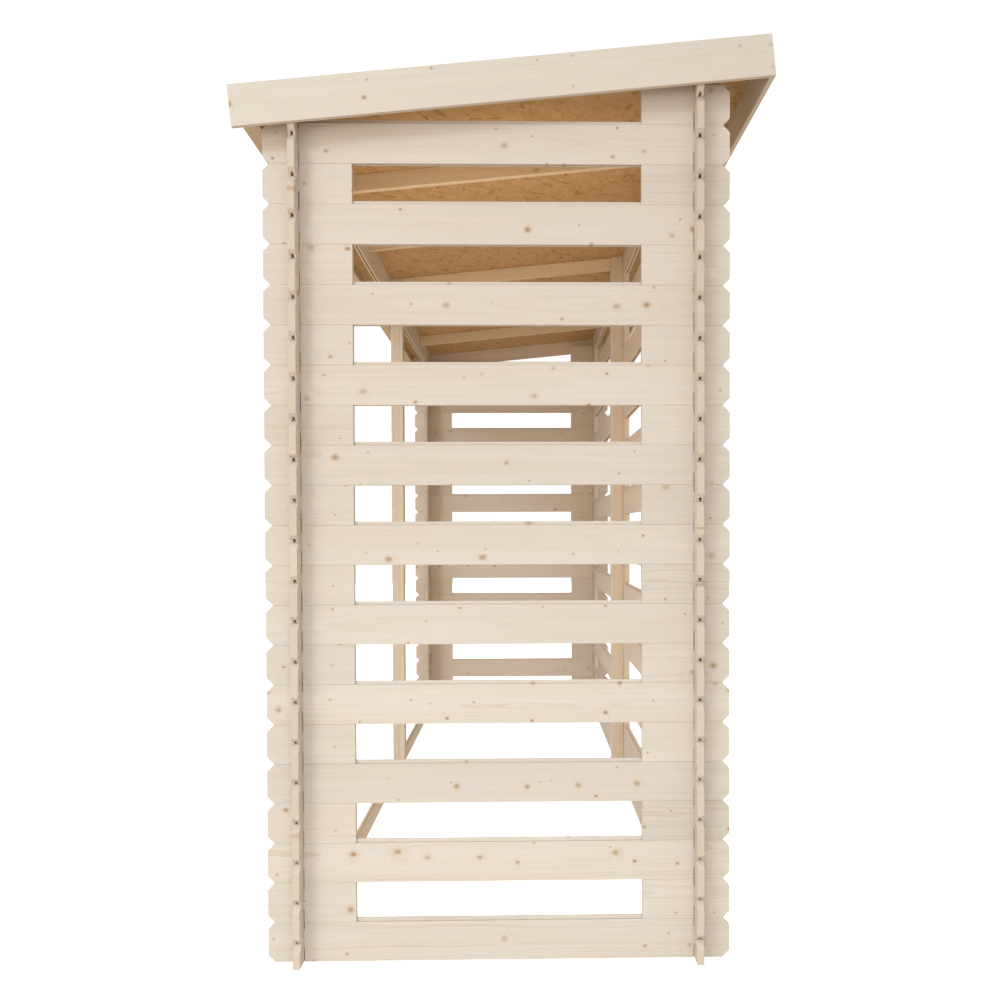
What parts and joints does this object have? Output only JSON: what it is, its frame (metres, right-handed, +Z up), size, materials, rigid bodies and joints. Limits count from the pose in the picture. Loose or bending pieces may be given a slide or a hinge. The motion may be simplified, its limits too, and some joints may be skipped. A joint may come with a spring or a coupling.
{
  "type": "firewood log store",
  "caption": "Open-fronted slatted timber log store with cross-lapped board corners, a mid post and a mono-pitch strand board roof on rafters.",
  "frame": {"origin": "on the ground, under the middle of the roof in plan", "axes": "+X along the store, -Y out of the open front, +Y to the slatted rear wall, +Z up"},
  "size_m": [3.104, 1.2028, 2.0687],
  "materials": {
    "spruce_boards": "planed bare spruce, fine grain with scattered knots",
    "spruce_fascia": "planed bare spruce",
    "spruce_framing": "planed bare spruce",
    "strand_board": "pressed wood strands, matt"
  },
  "bodies": {
    "root": {"front_sill": "spruce_boards", "front_top_board": "spruce_boards", "front_post": "spruce_framing", "front_left_blocks_odd": "spruce_boards", "front_left_blocks_even": "spruce_boards", "front_right_blocks_odd": "spruce_boards", "front_right_blocks_even": "spruce_boards", "rear_sill": "spruce_boards", "rear_bottom_board": "spruce_boards", "rear_board_1": "spruce_boards", "rear_board_2": "spruce_boards", "rear_board_3": "spruce_boards", "rear_board_4": "spruce_boards", "rear_board_5": "spruce_boards", "rear_board_6": "spruce_boards", "rear_board_7": "spruce_boards", "rear_board_8": "spruce_boards", "rear_board_9": "spruce_boards", "rear_board_10": "spruce_boards", "rear_top_board": "spruce_boards", "rear_post": "spruce_framing", "rear_left_blocks": "spruce_boards", "rear_middle_blocks": "spruce_boards", "rear_right_blocks": "spruce_boards", "left_end_boards": "spruce_boards", "left_end_front_blocks": "spruce_boards", "left_end_rear_blocks": "spruce_boards", "right_end_boards": "spruce_boards", "right_end_front_blocks": "spruce_boards", "right_end_rear_blocks": "spruce_boards", "rafter_1": "spruce_framing", "rafter_2": "spruce_framing", "rafter_3": "spruce_framing", "rafter_4": "spruce_framing", "rafter_5": "spruce_framing", "roof_panel_left": "strand_board", "roof_panel_right": "strand_board", "front_eave_batten": "spruce_framing", "rear_fascia": "spruce_fascia", "left_fascia": "spruce_fascia", "right_fascia": "spruce_fascia"}
  },
  "joints": []
}
